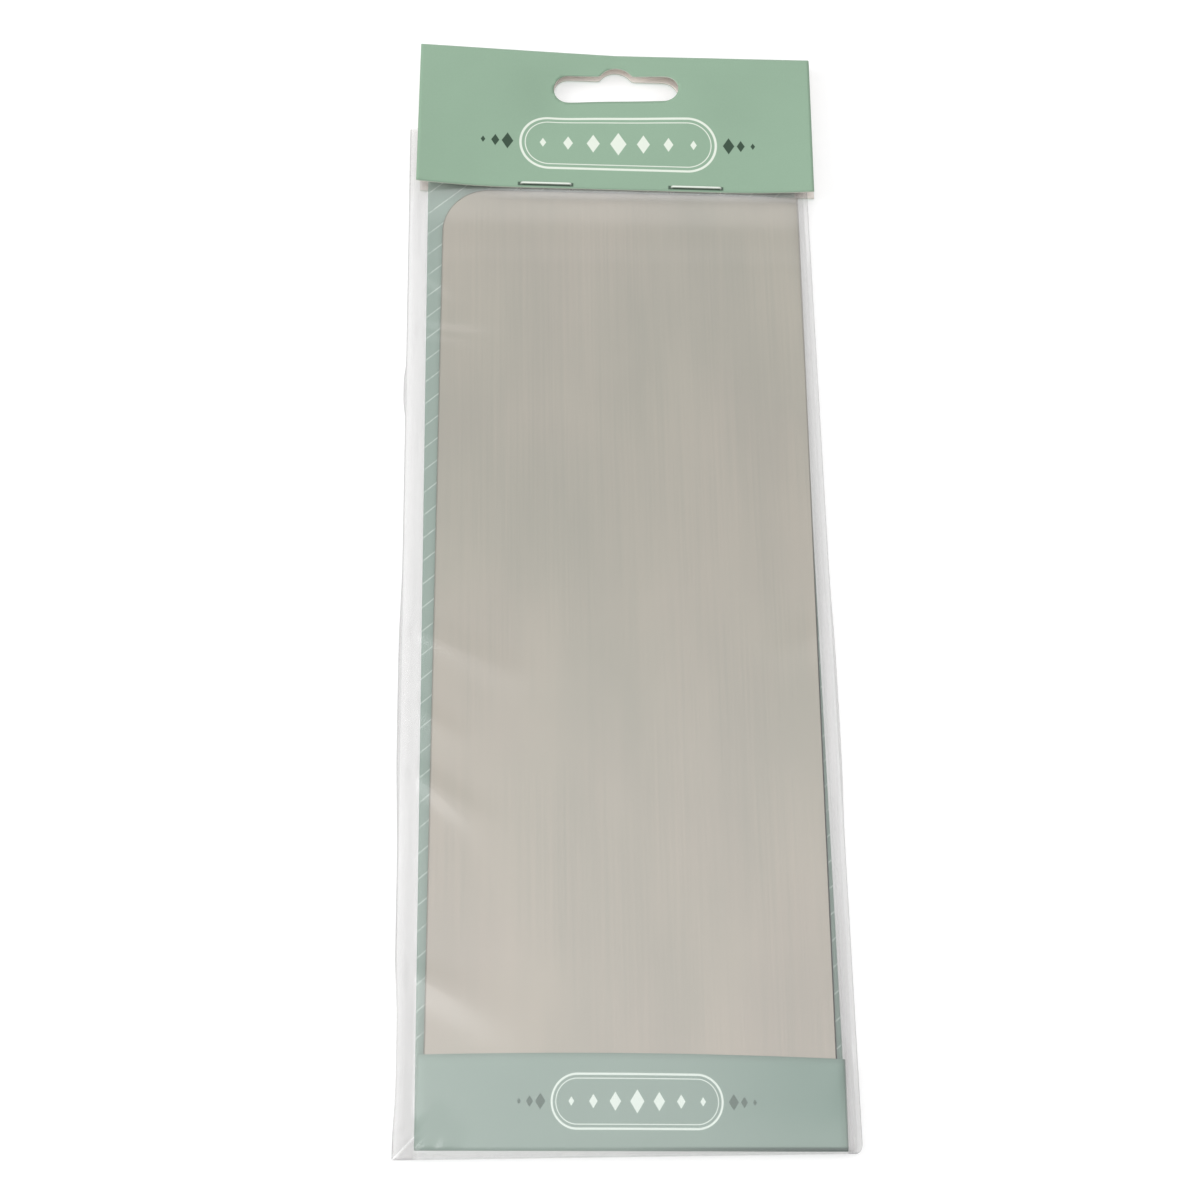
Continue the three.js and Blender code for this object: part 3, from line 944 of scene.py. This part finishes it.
def make_header():
    """The header card: one card folded over the mouth, with the hang slot through both panels."""
    low, high = box_mm("header_back_panel")
    wide, long = high.x - low.x, high.y - low.y
    cosine, sine = math.cos(pack_lean), -math.sin(pack_lean)
    spread = cosine ** 2 - sine ** 2
    width = (wide * cosine - long * sine) / spread
    height = (long * cosine - wide * sine) / spread
    half = width / 2
    top = box_mm("header_front_panel")[0].z + card_thickness
    lay = Matrix.Translation(((low + high) / 2).xy.to_3d()) @ Matrix.Rotation(pack_lean, 4, "Z")

    def lift(u, share):
        """How far the front panel stands off its level at a place on it."""
        side = 1 if u > 0 else -1
        start = flare_start * (1 - share)
        curl = min(max((abs(u) - start) / (half - start), 0), 1) ** (2 - share)
        spot = Vector((u, share * height))
        swell = header_bulge * math.exp(-((spot - bulge_middle).length / bulge_reach) ** 2)
        swell -= header_dip * math.exp(-((spot - dip_middle).length / dip_reach) ** 2)
        swell *= smoothstep(share * edge_fade) * smoothstep((1 - share) * fold_fade)
        return curl * (corner_lift[side] + (fold_lift[side] - corner_lift[side]) * share) + swell

    def folded(spot):
        """Where a point of the flat card lies once it is folded over the mouth."""
        if spot.y <= height:
            x = spot.x + front_lean * (1 - spot.y / height)
            return Vector((x, spot.y, top + lift(spot.x, spot.y / height)))
        turned = (spot.y - height) / fold_wrap
        if turned <= 1:
            upper = top + lift(spot.x, 1)
            rise = (upper - low.z) / 2
            turn = math.pi * turned
            y = height + header_fold_depth * math.sin(turn)
            return Vector((spot.x, y, low.z + rise + rise * math.cos(turn)))
        y = 2 * height + fold_wrap - spot.y
        down = 1 - y / height
        y += back_edge_skew * down * (spot.x / width + 0.5)
        return Vector((spot.x + back_lean * down, y, low.z))

    panel = (height, header_panel_rows)
    bm = flat_card(width, header_columns, [panel, (fold_wrap, header_fold_rows), panel])
    cell = width / header_columns
    back_slot = 2 * height + fold_wrap - back_slot_raise
    cut_hole(bm, lambda spot: outside_slot(spot.x, spot.y), cell)
    cut_hole(bm, lambda spot: outside_slot(spot.x, back_slot - spot.y), cell)
    keep_flat_map(bm, "card_flat", lambda spot: spot.xy)
    for vert in bm.verts:
        vert.co = lay @ (folded(vert.co) - Vector((0, height / 2, 0)))
    shade_smooth(bm)

    def painted_staple_shade(finish):
        """Painted shade where each staple meets the card: a dark line below its crown and a dark spot at each
        leg.
        """
        u, v = finish.flat_place("card_flat")
        mask = 0.0
        for node in staple_nodes:
            staple_low, staple_high = box_mm(node)
            spot = lay.inverted() @ ((staple_low + staple_high) / 2).xy.to_3d()
            reach = (staple_high.x - staple_low.x) / 2
            below = v - (spot.y + height / 2 - wire_width / 2)
            under_crown_shade = abs(u - spot.x).ramp(reach + crown_shade_end, reach)
            under_crown_shade = under_crown_shade * abs(below + crown_shade_drop).ramp(*crown_shade_line)
            hole = abs(abs(u - spot.x - hole_shift) - reach - hole_outset).ramp(*hole_width)
            hole = hole * abs(below - wire_width / 2 + hole_drop).ramp(*hole_height)
            mask = under_crown_shade.math("MAXIMUM", hole).math("MAXIMUM", mask)
        return mask * staple_shade_strength

    layers = [
        (printed(ornament, header_ornament_middle, header_ornament_size), header_pale_ink),
        (printed(side_dots, header_ornament_middle, header_ornament_size), header_dark_ink),
        (painted_staple_shade, header_staple_shade),
    ]
    finishes = [
        print_finish("header_green_print", header_ink, layers),
        bare_card_finish("header_white_inside", header_inside_card),
        bare_card_finish("header_cut_edge", header_cut_card),
    ]
    nodes = ["header_front_panel", "header_back_panel", "header_fold"]
    give_card_wall(make_piece(bm, "header_card", finishes, "header", nodes))


def make_staple(node, wire):
    """A wire staple: crown over the front panel, two legs, and feet clinched under the back one."""
    low, high = box_mm(node)
    middle = (low + high) / 2
    reach = (high.x - low.x) / 2 / math.cos(pack_lean)
    lay = Matrix.Translation(middle.xy.to_3d()) @ Matrix.Rotation(pack_lean, 4, "Z")
    quarter = math.pi / 2
    bend = wire_bend + wire_depth / 2
    crown = high.z - wire_depth / 2
    foot = low.z + wire_depth / 2
    straight = reach - wire_depth / 2 - bend
    upright = crown - foot - 2 * bend
    foot_run = straight - (reach - staple_foot)
    bm = bmesh.new()
    bmesh.ops.create_grid(bm, x_segments=1, y_segments=1, size=0.5)
    bmesh.ops.scale(bm, vec=(wire_depth, wire_width, 1), verts=bm.verts)
    bmesh.ops.rotate(bm, matrix=Matrix.Rotation(quarter, 3, "Y"), verts=bm.verts)
    bmesh.ops.translate(bm, vec=(staple_foot - reach, 0, foot), verts=bm.verts)

    def run(tip, way):
        """Draws the wire straight on."""
        grown = bmesh.ops.extrude_face_region(bm, geom=tip)["geom"]
        ahead = [part for part in grown if isinstance(part, bmesh.types.BMVert)]
        bmesh.ops.translate(bm, vec=way, verts=ahead)
        return [part for part in grown if isinstance(part, bmesh.types.BMFace)]

    def turn(tip, x, z):
        """Bends the wire a quarter turn round a point."""
        spun = bmesh.ops.spin(
            bm, geom=tip, cent=(x, 0, z), axis=(0, 1, 0), dvec=(0, 0, 0), angle=quarter, steps=bend_steps
        )["geom_last"]
        return [part for part in spun if isinstance(part, bmesh.types.BMFace)]

    tip = run(bm.faces[:], (-foot_run, 0, 0))
    tip = turn(tip, -straight, foot + bend)
    tip = run(tip, (0, 0, upright))
    tip = turn(tip, -straight, crown - bend)
    tip = run(tip, (2 * straight, 0, 0))
    tip = turn(tip, straight, crown - bend)
    tip = run(tip, (0, 0, -upright))
    tip = turn(tip, straight, foot + bend)
    run(tip, (-foot_run, 0, 0))

    # Each run and turn leaves the face that it started from inside the wire
    bmesh.ops.remove_doubles(bm, verts=bm.verts, dist=tolerance / 20)
    inside = [face for face in bm.faces if all(len(edge.link_faces) > 2 for edge in face.edges)]
    bmesh.ops.delete(bm, geom=inside, context="FACES_ONLY")
    bmesh.ops.recalc_face_normals(bm, faces=bm.faces)
    ridges = [edge for edge in bm.edges if edge.calc_face_angle(0) > wire_ridge]
    bmesh.ops.bevel(
        bm, geom=ridges, offset=wire_round, segments=round_segments, profile=0.5,
        affect="EDGES", material=-1,
    )
    shade_smooth(bm)
    bmesh.ops.transform(bm, matrix=lay, verts=bm.verts)
    make_piece(bm, node.replace("staple", "wire_staple"), [wire], "header", [node])


def make_bag():
    """The film bag: a lofted pouch, welded at its sides and folded at its foot, drawn over the contents."""
    left, right = box_mm("bag_left_weld")[0].x, box_mm("bag_right_weld")[1].x
    foot, mouth = box_mm("bag_bottom_fold")[0].y, box_mm("bag_front_film")[1].y
    floor, roof = box_mm("bag_back_film")[0].z, box_mm("bag_front_film")[1].z
    fold_low, fold_high = box_mm("insert_fold")
    blade_low, blade_high = box_mm("scraper_blade")
    side_edge = {-1: left, 1: right}
    card_edge = {-1: fold_low.x, 1: fold_high.x}
    shoulder = {
        -1: min(fold_low.x, blade_low.x) - shoulder_gap,
        1: max(fold_high.x, blade_high.x) + shoulder_gap,
    }
    centre, half = (left + right) / 2, (right - left) / 2
    ring_count = 2 * (bag_columns + 1)
    rows = dense_foot_rows + bag_rows
    stretches = [(dense_foot, dense_foot_rows), (mouth - foot - dense_foot, bag_rows)]

    def across(share):
        """Columns lie closer together towards the welds."""
        crowded = share * (1.5 - 0.5 * share * share)
        return half * ((1 - column_crowding) * share + column_crowding * crowded)

    def margin_place(spot):
        """Share of the way from the weld to the card's edge, and the height above the foot."""
        side = 1 if spot.x > centre else -1
        return (side_edge[side] - spot.x) / (side_edge[side] - card_edge[side]), spot.y - foot

    def edge_shift(side, y):
        """How far a welded side wanders outwards, less the round of the foot's right corner."""
        out = 0.0
        for wandering, spot, reach, amount in edge_wanders:
            if wandering == side:
                out += amount * math.exp(-((y - spot) / reach) ** 4)
        if side > 0:
            near = min(max(1 - (y - foot) / foot_corner, 0), 1)
            out -= foot_corner * (1 - math.sqrt(1 - near * near)) * corner_squash
        return out

    def ridges(here, folds):
        """Height of a list of folds, each highest at its start and wider towards its end."""
        total = 0.0
        for start, end, height, width in folds:
            way = end - start
            share = min(max((here - start).dot(way) / way.length_squared, 0), 1)
            off = (here - start - way * share).length / (width * (fold_start_width + fold_spread * share))
            total += height * (1 - share * share) * math.exp(-off * off)
        return total

    def crease(x, y):
        """Height of the soft creases, the slow wave and the swell of the front film."""
        total = ridges(Vector((x, y)), film_creases)
        total += film_wave * (0.5 + 0.5 * noise.noise(Vector((x / wave_length, y / wave_length, 0))))
        total *= 1 - smoothstep((y - calm_start) / (calm_end - calm_start))
        return total + film_swell * max(1 - ((y - swell_middle) / swell_reach) ** 2, 0) ** 1.5

    def fullness(x, y):
        """0 along the welds and the foot, 1 over the contents."""
        side = 1 if x > centre else -1
        fall = smoothstep((side_edge[side] - x) / (side_edge[side] - shoulder[side]))
        tip = fold_low.y + math.tan(fold_skew) * (fold_high.x - x) + fold_clear
        near = 1 - min(max((y - foot) / (tip - foot), 0), 1)
        return fall * math.sqrt(1 - near * near)

    def front_height(x, y):
        """Level of the front film."""
        share = fullness(x, y)
        level = weld_level + weld_height + (roof - weld_level - weld_height) * share
        return level + crease(x, y) * share + ridges(Vector((x, y)), corner_folds)

    def back_height(x, y):
        """Level of the back film."""
        return weld_level + (floor - weld_level) * fullness(x, y)

    bm = bmesh.new()
    bmesh.ops.create_cone(bm, cap_ends=False, segments=ring_count, radius1=1, radius2=1, depth=1)
    uprights = [edge for edge in bm.edges if abs(edge.verts[0].co.z - edge.verts[1].co.z) > 0.5]
    bmesh.ops.subdivide_edges(bm, edges=uprights, cuts=rows - 1, use_grid_fill=True)
    for vert in bm.verts:
        turn = math.atan2(vert.co.y, vert.co.x) % (2 * math.pi)
        step = round(turn / (2 * math.pi) * ring_count) % ring_count
        front = step <= bag_columns
        column = step if front else ring_count - 1 - step
        share = 1 - 2 * column / bag_columns
        x = centre + across(share)
        y = foot + along_rows(vert.co.z + 0.5, stretches)
        z = front_height(x, y) if front else back_height(x, y)
        shift = edge_shift(1, y) * smoothstep(share) - edge_shift(-1, y) * smoothstep(-share)
        vert.co = Vector((x + shift, y, z))
    keep_flat_map(bm, "film_flat", margin_place)

    # The front and back films' lowest edges are joined into the foot
    low_front = []
    low_back = []
    for edge in bm.edges:
        lowest = max(vert.co.y for vert in edge.verts) < foot + dense_foot / dense_foot_rows / 2
        if edge.is_boundary and lowest and abs(edge.verts[0].co.x - edge.verts[1].co.x) > tolerance:
            raised = min(vert.co.z for vert in edge.verts) > weld_level + weld_height / 2
            (low_front if raised else low_back).append(edge)
    bmesh.ops.bridge_loops(bm, edges=low_front + low_back)
    tear_slits(bm)
    bmesh.ops.recalc_face_normals(bm, faces=bm.faces)
    shade_smooth(bm)
    film = film_finish(card_edge[-1] - left, box_mm("header_front_panel")[0].y - foot)
    nodes = ["bag_front_film", "bag_back_film", "bag_left_weld", "bag_right_weld", "bag_bottom_fold"]
    make_piece(bm, "film_bag", [film], "bag", nodes)


def make_stage():
    """A plain pale floor, soft studio light and the camera."""
    bm = bmesh.new()
    bmesh.ops.create_grid(bm, x_segments=1, y_segments=1, size=floor_half)
    mesh = bpy.data.meshes.new("floor")
    bm.to_mesh(mesh)
    bm.free()
    mesh.materials.append(floor_finish())
    floor = bpy.data.objects.new("floor", mesh)
    bpy.context.scene.collection.objects.link(floor)

    world = bpy.data.worlds.new("studio")
    world.use_nodes = True
    back = world.node_tree.nodes["Background"]
    back.inputs["Color"].default_value = white
    back.inputs["Strength"].default_value = world_glow
    bpy.context.scene.world = world

    for name, spot, size, glow, mirrored in studio_lamps:
        lamp = bpy.data.lights.new(name, "AREA")
        lamp.size = size
        lamp.energy = glow * math.pi * size ** 2
        lit = bpy.data.objects.new(name, lamp)
        lit.visible_glossy = mirrored
        lit.location = spot
        lit.rotation_euler = (-spot).to_track_quat("-Z", "Y").to_euler()
        bpy.context.scene.collection.objects.link(lit)

    lens = bpy.data.cameras.new("camera")
    lens.sensor_width = camera_sensor
    lens.lens = camera_lens
    camera = bpy.data.objects.new("camera", lens)
    camera.location = camera_place * MM
    camera.rotation_euler = [math.radians(angle) for angle in camera_turn]
    bpy.context.scene.collection.objects.link(camera)
    bpy.context.scene.camera = camera
    bpy.context.scene.view_settings.view_transform = "Standard"


make_stage()
make_blade()
make_insert()
make_header()
staple_wire = wire_finish()
for staple_node in staple_nodes:
    make_staple(staple_node, staple_wire)
make_bag()
